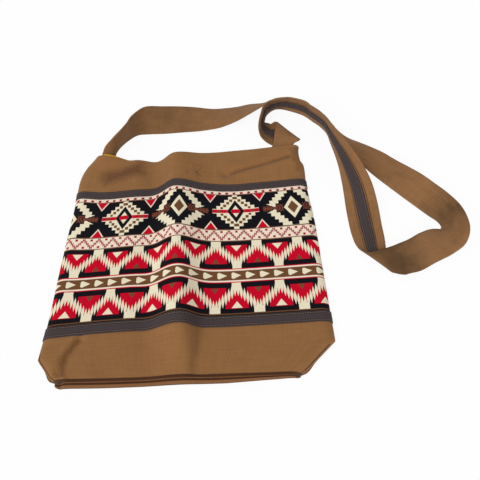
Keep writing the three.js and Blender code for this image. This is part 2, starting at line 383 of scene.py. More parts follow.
def canvasMaterial(name, look, marks):
    tree = materialTree(name)
    x, y = tree.clothPlace()
    tone, height = weave(tree, x, y, look)
    warp = tree.grain(x / look["gridPitch"], y * look["gridRun"], 1.0, 0.5)
    weft = tree.grain(x * look["gridRun"], y / look["gridPitch"], 1.0, 0.5)
    patch, seamLinesAndShade = marks(tree, x, y)
    colour = tree.mix(paint(*look["colour"]), paint(*look["dark"]), patch)
    # The dark lines at seams and grooves are partly the seams themselves and partly painted shade in their
    # gaps and grooves. They are cut in as well.
    if seamLinesAndShade is not None:
        colour = tree.mix(colour, paint(*look["seam"]), seamLinesAndShade.inside(1.0) * look["seamStrength"])
        height = height - seamLinesAndShade.inside(1.2) * look["seamDepth"]
    tone = tone + (warp + weft) * look["gridTone"]
    return tree.surface({
        "Base Color": tree.shade(colour, tone),
        "Roughness": look["roughness"],
        "Sheen Weight": 0.08,
        "Sheen Roughness": 0.5,
        "Specular IOR Level": 0.12,
        "Normal": tree.bump(height, strength=0.35, distance=0.0004),
    })


canvasMade = canvasMaterial("brownCanvas", canvasLook, plainMarks)
mouthMade = canvasMaterial("mouthCanvas", canvasLook, mouthMarks)
bandMade = canvasMaterial("baseBandCanvas", canvasLook, bandMarks)
strapMade = canvasMaterial("strapCanvas", strapLook, strapMarks)
baseMade = canvasMaterial("baseCanvas", stripLook, stripMarks)

tapeLook = {
    "colour": (65, 55, 56),
    "thread": (112, 93, 86),
    "edge": (38, 29, 30),
    "threadPitch": 0.7,
    "slub": 0.16,
    "drift": 0.05,
    "ribPitch": 2.2,
    "ribTone": 0.07,
    "ribRelief": 0.5,
    "stitchPitch": 3.4,
    "stitchShare": 0.37,
    "stitchInset": 2.3,
    "stitchHalf": 0.5,
    "shadowHalf": 1.3,
    "dipHalf": 0.9,
    "rowFade": 0.8,
    "roughness": 0.8,
}


# Dark ribbed tape, with a row of stitches along both of its edges, and painted shade along each row in its
# edge colour.
def tapeMaterial(name, look, width):
    tree = materialTree(name)
    x, y = tree.clothPlace()
    tone, height = weave(tree, x, y, look)
    ribs = (y * (2.0 * math.pi / look["ribPitch"])).wave()
    fromEdge = width / 2 - abs(y - width / 2)
    row = abs(fromEdge - look["stitchInset"])
    dash = folded(x, 0.0, look["stitchPitch"]) - look["stitchPitch"] * look["stitchShare"]
    stitches = ((row - look["stitchHalf"]) & dash).inside(0.3)
    shadow = (row - look["shadowHalf"]).inside(look["rowFade"])
    dip = (row - look["dipHalf"]).inside(look["rowFade"])
    colour = tree.mix(paint(*look["colour"]), paint(*look["edge"]), shadow)
    colour = tree.mix(colour, paint(*look["thread"]), stitches)
    height = height + ribs * look["ribRelief"] + stitches - dip
    return tree.surface({
        "Base Color": tree.shade(colour, tone + ribs * look["ribTone"]),
        "Roughness": look["roughness"],
        "Specular IOR Level": 0.25,
        "Normal": tree.bump(height, strength=0.4, distance=0.0004),
    })


tapeMade = tapeMaterial("darkTape", tapeLook, width=15.0)
strapTapeMade = tapeMaterial("darkStrapTape", tapeLook, width=16.0)

liningLook = {"colour": (206, 150, 52), "threadPitch": 0.5, "slub": 0.05, "drift": 0.04, "roughness": 0.8}


def liningMaterial(name, look):
    tree = materialTree(name)
    x, y = tree.clothPlace()
    tone, height = weave(tree, x, y, look)
    return tree.surface({
        "Base Color": tree.shade(paint(*look["colour"]), tone),
        "Roughness": look["roughness"],
        "Specular IOR Level": 0.3,
        "Normal": tree.bump(height, strength=0.2, distance=0.0003),
    })


liningMade = liningMaterial("ochreLining", liningLook)

# The printed cloth. Its pattern is built of bands, in millimetres across it and down from the top tape.
printLook = {
    "ground": (13, 12, 18),
    "red": (203, 2, 38),
    "cream": (242, 231, 202),
    "pale": (248, 228, 208),
    "brown": (112, 74, 46),
    "rust": (122, 66, 50),
    "dot": (152, 12, 34),
    "period": 59.4,
    "lineGap": 0.6,
    "threadPitch": 1.0,
    "slub": 0.05,
    "drift": 0.03,
    "roughness": 0.85,
}
# Where each band of the print starts, and its thickness.
bands = {
    "edge": (-1.6, 6.6),
    "diamonds": (6.2, 64.2),
    "zigzag": (71.6, 18.9),
    "redTop": (91.7, 44.9),
    "stripe": (136.6, 22.0),
}
# The squares in the edge strip. Their rise and height are shares of its thickness.
edgeSquares = {"rise": 0.36, "height": 0.56, "start": 8.5, "pitch": 11.7, "half": 2.2}
# The diamonds' line, the first small one, and the teeth beside each small one: half width and height.
diamondRow = {"line": 37.4, "first": 67.3, "teeth": 39.0, "paleTooth": (10.4, 15.6), "redTooth": (8.2, 12.6)}
# The small diamond: cream steps, a dark and a cream diamond inside, a stepped brown chain, and a bar with
# a knot at each end and a heart in its middle. Most sizes are from its middle, across and up.
smallDiamond = {
    "reach": 29.5,
    "stepStart": 4.0,
    "stepRise": 6.0,
    "stepAcross": 6.4,
    "dark": (13.4, 21.5),
    "cream": (7.0, 11.2),
    "chainStart": 3.9,
    "chainAcross": 5.1,
    "chainRise": 20.6,
    "chainDrop": 5.0,
    "chainHalf": (2.35, 2.5),
    "chainEnd": 23.5,
    "bar": (36.0, 4.2),
    "redBar": 3.1,
    "barScale": 8.0,
    "knot": 26.0,
    "knotHalf": (3.0, 1.6),
    "heart": (6.6, 3.6),
}
# The large diamond: a ladder of cream steps round a cream and a brown diamond, and barbed rust arms.
largeDiamond = {
    "ladder": 33.7,
    "ladderHalf": 7.0,
    "stepStart": 2.5,
    "stepRise": 6.0,
    "stepAcross": 5.3,
    "reach": 30.0,
    "slope": 1.85,
    "cream": (14.2, 20.4),
    "brown": (8.4, 11.8),
    "arm": 35.5,
    "armHalf": (11.0, 1.5),
    "barbs": ((39.5, (7.5, 4.6)), (20.5, (5.5, 6.4))),
    "barbPitch": 4.4,
    "barbHalf": 1.35,
    "barbLean": 0.8,
}
# The zigzag has eight peaks in three periods. Its line is beaded, and a dot stands in each bay.
zigzag = {
    "peaks": 8,
    "first": 55.3,
    "height": 14.0,
    "slope": 0.62,
    "half": 0.7,
    "beadHalf": 2.3,
    "beads": 8,
    "gaps": 26,
    "dotRise": 6.2,
    "dotHalf": 1.8,
}
# A red row: where it starts across the cloth, upright and upside down, its blades, fans, teeth and posts.
redRow = {
    "upright": 35.6,
    "overturned": 33.6,
    "foot": 203.5,
    "footLine": 204.4,
    "blades": 14,
    "flameStart": 7.0,
    "bladeHalf": 0.8,
    "bladeLength": 9.4,
    "bladeSlope": 0.45,
    "fanHalf": 15.6,
    "hangTop": 6.6,
    "riseFoot": 37.2,
    "creamTooth": (7.4, 9.6),
    "creamStart": 7.4,
    "brownTooth": (5.0, 7.6),
    "brownFoot": 36.6,
    "lowPost": (7.2, 9.0),
    "highPost": (6.3, 33.0),
}
# The stripe: its pale and brown fields' insets, and its arrowheads.
stripe = {
    "paleInset": 1.4,
    "brownInset": 3.7,
    "first": 17.6,
    "arrow": 19.8,
    "arrowHalf": 4.9,
    "bluntHalf": 3.4,
    "bluntSlope": 0.9,
    "point": 13.4,
    "pointSlope": 0.47,
    "softness": 0.6,
}


class Print:
    def __init__(self, tree, look):
        self.tree = tree
        self.look = look
        self.x, self.y = tree.clothPlace()
        self.colour = paint(*look["ground"])

    def lay(self, name, shape, edge=0.35):
        self.colour = self.tree.mix(self.colour, paint(*self.look[name]), shape.inside(edge))

    # A pointed tooth, from its half width at its base and its height.
    def tooth(self, x, fromBase, size):
        half, height = size
        return (abs(x) + fromBase * (half / height) - half) & -fromBase

    def brownLine(self, place, thickness=1.7):
        self.lay("brown", abs(self.y - place) - thickness / 2, 0.5)

    # The narrow strip under the top tape: pale, with dark red squares.
    def edgeStrip(self):
        start, thickness = bands["edge"]
        self.lay("pale", between(self.y, start, thickness))
        low = start + thickness * edgeSquares["rise"]
        row = between(self.y, low, thickness * edgeSquares["height"])
        square = folded(self.x, edgeSquares["start"], edgeSquares["pitch"]) - edgeSquares["half"]
        self.lay("dot", row & square)
        self.brownLine(start + thickness + self.look["lineGap"])

    # Two kinds of stepped diamond by turns, with red teeth between them at the top and the bottom.
    def diamondBand(self):
        start, thickness = bands["diamonds"]
        repeat = 3 * self.look["period"]
        small = folded(self.x, diamondRow["first"], repeat)
        rise = abs(self.y - diamondRow["line"])
        within = between(self.y, start, thickness)
        self.laySmallDiamond(small, rise, within)
        self.layLargeDiamond(repeat / 2 - small, rise, within)
        side = abs(small - diamondRow["teeth"])
        self.lay("pale", self.tooth(side, -within, diamondRow["paleTooth"]) & within)
        self.lay("red", self.tooth(side, -within, diamondRow["redTooth"]) & within)

    def laySmallDiamond(self, x, rise, within):
        size = smallDiamond
        step = ((rise - size["stepStart"]) / size["stepRise"]).floor()
        self.lay("cream", (x - size["reach"] + step * size["stepAcross"]) & within)
        dark = diamondShape(x, rise, size["dark"])
        self.lay("ground", dark, 0.03)
        self.lay("cream", diamondShape(x, rise, size["cream"]), 0.05)
        place = ((x - size["chainStart"]) / size["chainAcross"]).floor()
        fromLink = abs(x - (place + 0.5) * size["chainAcross"] - size["chainStart"])
        riseLink = abs(rise - size["chainRise"] + place * size["chainDrop"])
        self.lay("brown", boxShape(fromLink, riseLink, size["chainHalf"]) & (x - size["chainEnd"]))
        bar = boxShape(x, rise, size["bar"]) & (dark * -size["barScale"])
        self.lay("pale", bar)
        self.lay("red", bar & (rise - size["redBar"]))
        self.lay("brown", boxShape(abs(x - size["knot"]), rise, size["knotHalf"]))
        self.lay("red", boxShape(x, rise, size["heart"]))

    def layLargeDiamond(self, x, rise, within):
        size = largeDiamond
        up = rise - size["stepStart"]
        centre = size["ladder"] - (up / size["stepRise"]).floor() * size["stepAcross"]
        point = x - size["reach"] - up * size["slope"]
        self.lay("cream", (abs(x - centre) - size["ladderHalf"]) & point & -up & within)
        self.lay("cream", diamondShape(x, rise, size["cream"]), 0.03)
        self.lay("brown", diamondShape(x, rise, size["brown"]), 0.05)
        self.lay("rust", boxShape(abs(x - size["arm"]), rise, size["armHalf"]))
        pitch = size["barbPitch"]
        barb = abs((x - rise * size["barbLean"]) % pitch - pitch / 2) - size["barbHalf"]
        for place, half in size["barbs"]:
            self.lay("rust", barb & boxShape(abs(x - place), rise, half))

    # A pale band between brown lines, with a beaded zigzag and a dot in each of its bays.
    def zigzagBand(self):
        start, thickness = bands["zigzag"]
        self.lay("pale", between(self.y, start, thickness))
        pitch = 3 * self.look["period"] / zigzag["peaks"]
        middle = start + thickness / 2
        fromPeak = folded(self.x, zigzag["first"], pitch)
        line = middle - zigzag["height"] / 2 + fromPeak * (zigzag["height"] / (pitch / 2))
        fromLine = abs(self.y - line) * zigzag["slope"]
        beads = pitch / zigzag["gaps"] - folded(fromPeak, 0.0, pitch / zigzag["beads"])
        self.lay("dot", (fromLine - zigzag["beadHalf"]) & ((fromLine - zigzag["half"]) | beads))
        half = zigzag["dotHalf"]
        high = (abs(self.y - middle + zigzag["dotRise"]) - half) & (pitch / 2 - fromPeak - half)
        low = (abs(self.y - middle - zigzag["dotRise"]) - half) & (fromPeak - half)
        self.lay("dot", high | low)
        self.brownLine(start - self.look["lineGap"])
        self.brownLine(start + thickness + self.look["lineGap"])

    # A row of red fans between pale flames. It is printed once upright and once upside down.
    def layRedRow(self, x, down):
        size = redRow
        period = self.look["period"]
        fromPost = folded(x, 0.0, period)
        toPost = period / 2 - fromPost
        pitch = period / size["blades"]
        column = (fromPost / pitch).floor()
        spike = 1.0 - abs((fromPost / pitch - column) * 2.0 - 1.0)
        flame = (column + 0.5) * pitch + size["flameStart"]
        inRow = between(down, 0.0, bands["redTop"][1])
        hanging = (toPost - size["fanHalf"]) & (size["hangTop"] - down) & (down - flame)
        rising = (fromPost - size["fanHalf"]) & (down - size["riseFoot"]) & (flame - down)
        self.lay("red", (hanging | rising) & inRow)
        self.lay("cream", self.tooth(toPost, down - size["creamStart"], size["creamTooth"]) & inRow)
        self.lay("brown", self.tooth(fromPost, size["brownFoot"] - down, size["brownTooth"]) & inRow)
        blade = abs(down - flame) - size["bladeHalf"] - spike * size["bladeLength"]
        lowPost = boxShape(fromPost, down, size["lowPost"])
        highPost = (toPost - size["highPost"][0]) & (size["highPost"][1] - down)
        self.lay("cream", ((blade * size["bladeSlope"]) | lowPost | highPost) & inRow)

    # The brown stripe with pale arrowheads, between pale and red lines.
    def stripeBand(self):
        start, thickness = bands["stripe"]
        pale, brown = stripe["paleInset"], stripe["brownInset"]
        self.lay("red", between(self.y, start, thickness))
        self.lay("pale", between(self.y, start + pale, thickness - 2 * pale))
        self.lay("brown", between(self.y, start + brown, thickness - 2 * brown))
        along = (self.x - stripe["first"]) % stripe["arrow"]
        rise = abs(self.y - start - thickness / 2)
        blunt = rise - stripe["bluntHalf"] - along * stripe["bluntSlope"]
        taper = rise - (stripe["point"] - along) * stripe["pointSlope"]
        self.lay("cream", blunt & taper & (rise - stripe["arrowHalf"]), stripe["softness"])


def printMaterial(name, look):
    tree = materialTree(name)
    made = Print(tree, look)
    made.edgeStrip()
    made.diamondBand()
    made.zigzagBand()
    made.layRedRow(made.x - redRow["upright"], made.y - bands["redTop"][0])
    made.layRedRow(made.x - redRow["overturned"], redRow["foot"] - made.y)
    made.stripeBand()
    made.brownLine(redRow["footLine"], thickness=1.6)
    tone, height = weave(tree, made.x, made.y, look)
    return tree.surface({
        "Base Color": tree.shade(made.colour, tone),
        "Roughness": look["roughness"],
        "Specular IOR Level": 0.1,
        "Normal": tree.bump(height, strength=0.3, distance=0.0004),
    })


printMade = printMaterial("printedCloth", printLook)

steelLook = {"colour": (190, 186, 178), "grainPace": 2500.0, "grainTone": 0.2, "roughness": 0.32}


def steelMaterial(name, look):
    tree = materialTree(name)
    place = tree.node("ShaderNodeTexCoord", None, None, out="Object")
    grain = tree.noise(place, look["grainPace"], 3.0, 0.6)
    return tree.surface({
        "Base Color": tree.shade(paint(*look["colour"]), grain * look["grainTone"] + 0.9),
        "Metallic": 1.0,
        "Roughness": grain * 0.15 + look["roughness"],
        "Normal": tree.bump(grain, strength=0.15, distance=0.0002),
    })


# The snap's halves stay as they are in the frame, and get plain steel.
steelMade = steelMaterial("plainSteel", steelLook)
for node in ("snap_socket", "snap_stud"):
    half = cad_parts[node].data
    half.materials.clear()
    half.materials.append(steelMade)
print("materials made")

# The bag's cloths: their thicknesses, the tapes' width, the gap at each seam, how far the front stands up,
# how it rolls over at the sides, and how the lining sits inside it.
cloth = {
    "canvas": 1.2,
    "lining": 0.6,
    "tape": 0.8,
    "tapeWidth": 15.0,
    "clearance": 0.3,
    "loft": 11.5,
    "sideRoll": 16.0,
    "liningInset": 4.0,
    "liningStop": 14.0,
    "liningSlack": 1.6,
    "edgeRound": 0.35,
}
# The front's large folds: the old fold down its middle, the hollow beside it, the lifted corner and two
# soft ridges. They and the outlines below are the same as in the part's source.
ridgeTop = {"x": -14.0, "height": 15.5, "left": 14.0, "right": 25.0}
ridgeBottom = {"x": -8.0, "height": 22.0, "left": 23.0, "right": 14.0}
ridgeEnd = {"fade": 12.0, "left": 0.15, "beyond": 1.6}
hollow = {"x": -51.0, "depth": 5.0, "reach": 13.0}
cornerLift = {"x": -130.0, "y": 186.0, "height": 8.0, "reach": 16.0}
mouthCrease = {"start": (84.0, 134.0), "end": (186.0, 160.0), "height": 3.0, "reach": 9.0}
baseCrease = {"start": (-137.0, -141.0), "end": (-160.0, -180.0), "height": 3.0, "reach": 9.0}
# The boxed corners at the bottom, folded back, with a small round where each meets the bottom seam.
leftCorner = {"across": 23.0, "along": 30.0}
rightCorner = {"across": 49.0, "along": 41.0}
cornerRound = 9.0


def lerp(a, b, share):
    return a + (b - a) * share


def smoothstep(value, low, high):
    share = np.clip((value - low) / (high - low), 0.0, 1.0)
    return share * share * (3.0 - 2.0 * share)


# A smooth curve through a few (place, value) pairs.
def curveThrough(pairs):
    places = np.array([pair[0] for pair in pairs], float)
    values = np.array([pair[1] for pair in pairs], float)
    last = len(pairs) - 1
    before = np.maximum(np.arange(last + 1) - 1, 0)
    after = np.minimum(np.arange(last + 1) + 1, last)
    slopes = (values[after] - values[before]) / (places[after] - places[before])

    def at(place):
        x = np.clip(np.asarray(place, float), places[0], places[-1])
        i = np.clip(np.searchsorted(places, x) - 1, 0, last - 1)
        span = places[i + 1] - places[i]
        t = (x - places[i]) / span
        rise = values[i + 1] - values[i]
        a = slopes[i] * span - rise
        b = rise - slopes[i + 1] * span
        return values[i] + rise * t + t * (1 - t) * (a * (1 - t) + b * t)

    return at


# The bag's outline and seams. The sides are (y, x) pairs, and the others go by the share across the bag.
leftSide = curveThrough([
    (-160, -188), (-110, -183), (0, -177.5), (90, -171.5), (135, -170), (160, -163), (178, -151),
    (192, -143),
])
rightSide = curveThrough([
    (-160, 188), (-60, 190.5), (30, 193), (100, 191.5), (143, 193.5), (154, 189.5), (176, 189.5),
    (192, 193),
])
bottomSeam = curveThrough([(0, -187), (0.2, -191), (0.5, -194), (1, -200)])
lowerTape = curveThrough([(0, -117), (0.2, -115), (0.4, -115), (0.6, -118), (1, -120)])
upperTape = curveThrough([
    (0, 109), (0.12, 103), (0.25, 105), (0.38, 110), (0.55, 107), (0.7, 104), (1, 109),
])
mouth = curveThrough([
    (0, 180.5), (0.1, 174.5), (0.27, 168), (0.36, 165), (0.43, 168), (0.54, 174), (0.65, 177), (0.8, 180),
    (1, 186.5),
])


# Smooth noise from -1 to 1 over a plane, from a square table of seeded numbers that repeats.
def softNoise(x, y, scale, seed):
    size = 64
    table = np.random.default_rng(seed).uniform(-1.0, 1.0, (size, size))
    x = np.asarray(x, float) / scale + 10.0 * size
    y = np.asarray(y, float) / scale + 10.0 * size
    column = np.floor(x).astype(int)
    row = np.floor(y).astype(int)
    across = smoothstep(x - column, 0.0, 1.0)
    up = smoothstep(y - row, 0.0, 1.0)
    near, far = column % size, (column + 1) % size
    low, high = row % size, (row + 1) % size
    return lerp(lerp(table[low, near], table[low, far], across),
                lerp(table[high, near], table[high, far], across), up)


# How far the small round takes the end of the bottom seam in, at a distance from it.
def roundInset(rise):
    share = np.clip(1.0 - rise / cornerRound, 0.0, 1.0)
    return cornerRound * (1.0 - np.sqrt(1.0 - share ** 2))


def leftEdge(y):
    cut = bottomSeam(0.0) + leftCorner["along"] - y
    corner = np.maximum(0.0, cut / leftCorner["along"]) * leftCorner["across"]
    return leftSide(y) + corner + roundInset(y - bottomSeam(0.0))


def rightEdge(y):
    cut = bottomSeam(1.0) + rightCorner["along"] - y
    corner = np.maximum(0.0, cut / rightCorner["along"]) * rightCorner["across"]
    return rightSide(y) - corner - roundInset(y - bottomSeam(1.0))


def hump(distance, reach):
    return np.exp(-0.5 * (distance / reach) ** 2)


def ridgeHeight(x, y):
    low = lowerTape(0.0)
    up = np.clip((y - low) / (upperTape(0.0) - low), -1.0, ridgeEnd["beyond"])
    middle = lerp(ridgeBottom["x"], ridgeTop["x"], up)
    along = np.clip(up, 0.0, 1.0)
    left = lerp(ridgeBottom["left"], ridgeTop["left"], along)
    right = lerp(ridgeBottom["right"], ridgeTop["right"], along)
    reach = np.where(x < middle, left, right)
    fade = lerp(ridgeEnd["left"], 1.0, smoothstep(y, bottomSeam(0.5) - ridgeEnd["fade"], low))
    fold = lerp(ridgeBottom["height"], ridgeTop["height"], along) * hump(x - middle, reach)
    beside = hollow["depth"] * hump(x - hollow["x"], hollow["reach"])
    return (fold - beside) * np.where(up < 0, fade, 1.0)


def creaseHeight(x, y, crease):
    startX, startY = crease["start"]
    alongX = crease["end"][0] - startX
    alongY = crease["end"][1] - startY
    length = alongX ** 2 + alongY ** 2
    share = np.clip(((x - startX) * alongX + (y - startY) * alongY) / length, 0.0, 1.0)
    distance = np.hypot(x - startX - share * alongX, y - startY - share * alongY)
    return crease["height"] * hump(distance, crease["reach"])


# The front's height over the ground. Its lining has an inset from the sides and a drop below the canvas.
def frontHeight(x, y, inset=0.0, drop=0.0):
    fromLift = np.hypot(x - cornerLift["x"], y - cornerLift["y"])
    lift = cornerLift["height"] * hump(fromLift, cornerLift["reach"])
    ridges = creaseHeight(x, y, mouthCrease) + creaseHeight(x, y, baseCrease)
    loft = cloth["loft"] + ridgeHeight(x, y) + lift + ridges - drop
    fromSide = np.minimum(x - leftEdge(y), rightEdge(y) - x) - inset
    share = np.clip(fromSide / cloth["sideRoll"], 0.0, 1.0)
    seam = cloth["canvas"] + cloth["clearance"]
    if inset > 0:
        seam += cloth["lining"] + cloth["clearance"]
    return lerp(seam, loft, np.sqrt(np.maximum(0.0, 1.0 - (1.0 - share) ** 2)))


# Columns lie closer together near the sides, where the front rolls over.
def spread(u):
    crowding = 0.8
    return lerp(u, 0.5 - 0.5 * np.cos(np.pi * u), crowding)


def unit(vectors):
    length = np.linalg.norm(vectors, axis=-1, keepdims=True)
    return vectors / np.maximum(length, 1e-9)


def gridNormals(grid):
    return unit(np.cross(np.gradient(grid, axis=1), np.gradient(grid, axis=0)))


# A closed cloth of the given thickness along a grid of points, with a rounded edge all round. It may be
# lifted off the grid, and the coordinates of its underside may be shifted across.
def clothObject(name, grid, thickness, uv, material, lift=0.0, underShift=0.0):
    rows, columns = grid.shape[:2]
    normal = gridNormals(grid)
    centre = grid + normal * lift
    top = centre + normal * (thickness / 2)
    under = centre - normal * (thickness / 2)
    inner = centre.copy()
    inner[0], inner[-1] = centre[1], centre[-2]
    inner[:, 0], inner[:, -1] = centre[:, 1], centre[:, -2]
    index = np.arange(rows * columns).reshape(rows, columns)
    ring = np.concatenate([index[0], index[1:, -1], index[-1, -2::-1], index[-2:0:-1, 0]])
    outward = unit((centre - inner).reshape(-1, 3)[ring])
    nose = centre.reshape(-1, 3)[ring] + outward * thickness * cloth["edgeRound"]
    points = np.concatenate([top.reshape(-1, 3), under.reshape(-1, 3), nose])
    flat = uv.reshape(-1, 2)
    places = np.concatenate([flat, flat + np.array([underShift, 0.0]), flat[ring]])
    count = rows * columns
    a, b = index[:-1, :-1].ravel(), index[:-1, 1:].ravel()
    c, d = index[1:, 1:].ravel(), index[1:, :-1].ravel()
    upperFaces = np.stack([a, b, c, d], 1)
    lowerFaces = np.stack([a, d, c, b], 1) + count
    here, ahead = ring, np.roll(ring, -1)
    noseHere = np.arange(len(ring)) + 2 * count
    noseAhead = np.roll(noseHere, -1)
    upperRim = np.stack([ahead, here, noseHere, noseAhead], 1)
    lowerRim = np.stack([noseAhead, noseHere, here + count, ahead + count], 1)
    faces = np.concatenate([upperFaces, lowerFaces, upperRim, lowerRim])
    return meshObject(name, points, faces, places, material)


def meshObject(name, points, faces, places, material):
    mesh = bpy.data.meshes.new(name)
    sides = faces.shape[1]
    mesh.vertices.add(len(points))
    mesh.vertices.foreach_set("co", (points * mm).ravel())
    mesh.loops.add(faces.size)
    mesh.loops.foreach_set("vertex_index", faces.ravel().astype(np.int32))
    mesh.polygons.add(len(faces))
    mesh.polygons.foreach_set("loop_start", np.arange(0, faces.size, sides, dtype=np.int32))
    mesh.polygons.foreach_set("use_smooth", np.ones(len(faces), bool))
    layer = mesh.uv_layers.new(name="cloth")
    layer.data.foreach_set("uv", (places[faces.ravel()] * mm).ravel())
    mesh.update(calc_edges=True)
    mesh.validate()
    mesh.materials.append(material)
    made = bpy.data.objects.new(name, mesh)
    bpy.context.scene.collection.objects.link(made)
    return made


def finishPiece(piece, node):
    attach(piece, "root")
    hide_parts(node)


# Small folds that only the scene has: a slow waviness, a fine mottle, and creases. They fade at the sides.
frontFolds = {"wave": 0.5, "waveScale": 34.0, "mottle": 0.2, "mottleScale": 11.0, "sideFade": 14.0}
# A crease between two places is a valley where its height is negative. The last four are the snap's mark.
creases = [
    {"start": (64.0, 128.0), "end": (168.0, 160.0), "height": -5.6, "reach": 5.0},
    {"start": (-92.0, 168.0), "end": (-128.0, 136.0), "height": -3.0, "reach": 7.0},
    {"start": (-136.0, -138.0), "end": (-162.0, -184.0), "height": -6.0, "reach": 5.0},
    {"start": (178.0, 178.0), "end": (180.0, 150.0), "height": -2.0, "reach": 3.5},
    {"start": (14.0, -130.0), "end": (12.0, -190.0), "height": -1.8, "reach": 7.0},
    {"start": (7.5, 131.0), "end": (8.0, 131.0), "height": -1.6, "reach": 5.5},
    {"start": (0.0, 126.0), "end": (11.5, 141.0), "height": 1.1, "reach": 1.8},
    {"start": (16.0, 123.0), "end": (8.5, 132.0), "height": 1.0, "reach": 1.8},
    {"start": (10.5, 119.0), "end": (10.0, 129.0), "height": 0.8, "reach": 1.6},
]


def allCreases(x, y):
    return sum(creaseHeight(x, y, crease) for crease in creases)


def frontFold(x, y):
    wave = softNoise(x + y * 0.3, y * 0.5, frontFolds["waveScale"], seed=3) * frontFolds["wave"]
    mottle = softNoise(x, y, frontFolds["mottleScale"], seed=5) * frontFolds["mottle"]
    return wave + mottle + allCreases(x, y)


# Two shares of a grid: one that runs across its columns and one that runs up its rows.
def gridShares(columns, rows):
    return np.linspace(0.0, 1.0, columns + 1)[None, :], np.linspace(0.0, 1.0, rows + 1)[:, None]


def frontGrid(columns, rows, lower, upper):
    u, v = gridShares(columns, rows)
    share = spread(u) + 0.0 * v
    y = lerp(lower(share), upper(share), v)
    x = lerp(leftEdge(y), rightEdge(y), share)
    fade = smoothstep(np.minimum(x - leftEdge(y), rightEdge(y) - x), 0.0, frontFolds["sideFade"])
    z = frontHeight(x, y) + frontFold(x, y) * fade
    return np.stack([x, y, z], -1), share, y


# The cloth's own coordinates, in millimetres: across it from its middle, and along it.
def acrossBag(share):
    return (share - 0.5) * printSize["width"]


def plainPlace(share, y):
    return np.stack([acrossBag(share), y + 0.0 * share], -1)


def bandPlace(share, y):
    return np.stack([acrossBag(share), y - bottomSeam(share)], -1)


# The print is stretched across the fold, so that its diamonds lie where they should, and runs down from
# the top tape.
printSize = {"width": 376.0, "height": 207.0}
printAcross = curveThrough([
    (-188, -196.5), (-134, -142.5), (-107, -112.8), (-48, -53.4), (-20.5, -23.7), (6, 6), (188, 187),
])


def printPlace(share, y):
    top = upperTape(share) - cloth["tapeWidth"]
    low = lowerTape(share)
    down = (top - y) / (top - low) * printSize["height"]
    return np.stack([printAcross(acrossBag(share)), down], -1)


halfTape = cloth["tapeWidth"] / 2
halfGap = cloth["clearance"] / 2
frontColumns = 188


def topJoin(u):
    return upperTape(u) - halfTape


def bottomJoin(u):
    return lowerTape(u) - halfTape


# One of the front's three cloths, from its lower line to its upper one.
def addFrontCloth(name, node, size, lower, upper, places, material):
    grid, share, y = frontGrid(frontColumns, size["rows"], lower, upper)
    made = clothObject(name, grid, cloth["canvas"], places(share, y), material)
    finishPiece(made, node)


topBand = {"rows": 40, "flat": (0.40, 0.085), "area": 0.030}
addFrontCloth("frontTopCloth", "front_top_band", topBand,
              lambda u: topJoin(u) + halfGap, mouth, plainPlace, mouthMade)
printPanel = {"rows": 104, "flat": (0.41, 0.224), "area": 0.086}
addFrontCloth("frontPrintCloth", "front_print_panel", printPanel,
              lambda u: bottomJoin(u) + halfGap, lambda u: topJoin(u) - halfGap, printPlace, printMade)
baseBand = {"rows": 44, "flat": (0.41, 0.078), "area": 0.027}
addFrontCloth("frontBaseCloth", "front_base_band", baseBand,
              bottomSeam, lambda u: bottomJoin(u) - halfGap, bandPlace, bandMade)

topTape = {"width": 13.8, "length": 0.40}
bottomTape = {"width": 15.0, "length": 0.40}
tapeRows = 10


def addTape(name, node, size, line):
    wide = size["width"]
    grid, share, y = frontGrid(frontColumns, tapeRows, lambda u: line(u) - wide, line)
    places = np.stack([acrossBag(share), (line(share) - y) / wide * cloth["tapeWidth"]], -1)
    lift = cloth["canvas"] / 2 + cloth["clearance"] + cloth["tape"] / 2
    made = clothObject(name, grid, cloth["tape"], places, tapeMade, lift)
    finishPiece(made, node)


addTape("topTapeCloth", "trim_tape_top", topTape, upperTape)
addTape("bottomTapeCloth", "trim_tape_bottom", bottomTape, lowerTape)
print("front made")

# The base lies flat under the bag, then turns up round the bottom seam to a lip behind the front.
baseShape = {
    "depth": 72.0,
    "bulge": 6.5,
    "bulgeRight": 0.25,
    "bulgeSlope": 2.2,
    "endSlope": 0.8,
    "endRound": 0.75,
    "flatShare": 0.45,
    "lipInset": -7.0,
    "lipPower": 6,
    "lipLeast": 0.75,
    "clothLength": 110.0,
    "flat": (0.38, 0.105),
    "area": 0.0315,
}


def baseGrid(columns, rows):
    shape = baseShape
    u, v = gridShares(columns, rows)
    u = spread(u)
    seam = bottomSeam(u)
    flat = np.clip(v / shape["flatShare"], 0.0, 1.0)
    y = lerp(seam + shape["depth"], seam, flat)
    inset = lerp(cloth["canvas"], shape["lipInset"], flat ** shape["lipPower"])
    x = lerp(leftEdge(y) + inset, rightEdge(y) - inset, u)
    turn = np.pi * np.clip((v - shape["flatShare"]) / (1.0 - shape["flatShare"]), 0.0, 1.0)
    behind = frontHeight(x, seam) - cloth["canvas"] - 2 * cloth["clearance"]
    lip = np.maximum(behind, cloth["canvas"] * shape["lipLeast"])
    fromEnd = np.minimum(x - leftEdge(y), rightEdge(y) - x) - inset
    full = np.minimum(1.0, shape["bulgeSlope"] * (1.0 - u) + shape["bulgeRight"])
    full = full * (1.0 - shape["endRound"] * roundInset(fromEnd) / cornerRound)
    bulge = shape["bulge"] * full * np.sin(turn)
    z = lerp(cloth["canvas"] / 2, lip, (1.0 - np.cos(turn)) / 2)
    z = np.minimum(z, np.maximum(fromEnd, 0.0) * shape["endSlope"] + cloth["canvas"])
    places = np.stack([acrossBag(u) + 0.0 * v, v * shape["clothLength"] + 0.0 * u], -1)
    return np.stack([x, y - bulge, z], -1), places


grid, places = baseGrid(columns=150, rows=60)
baseCloth = clothObject("baseCloth", grid, cloth["canvas"], places, baseMade)
finishPiece(baseCloth, "base_panel")


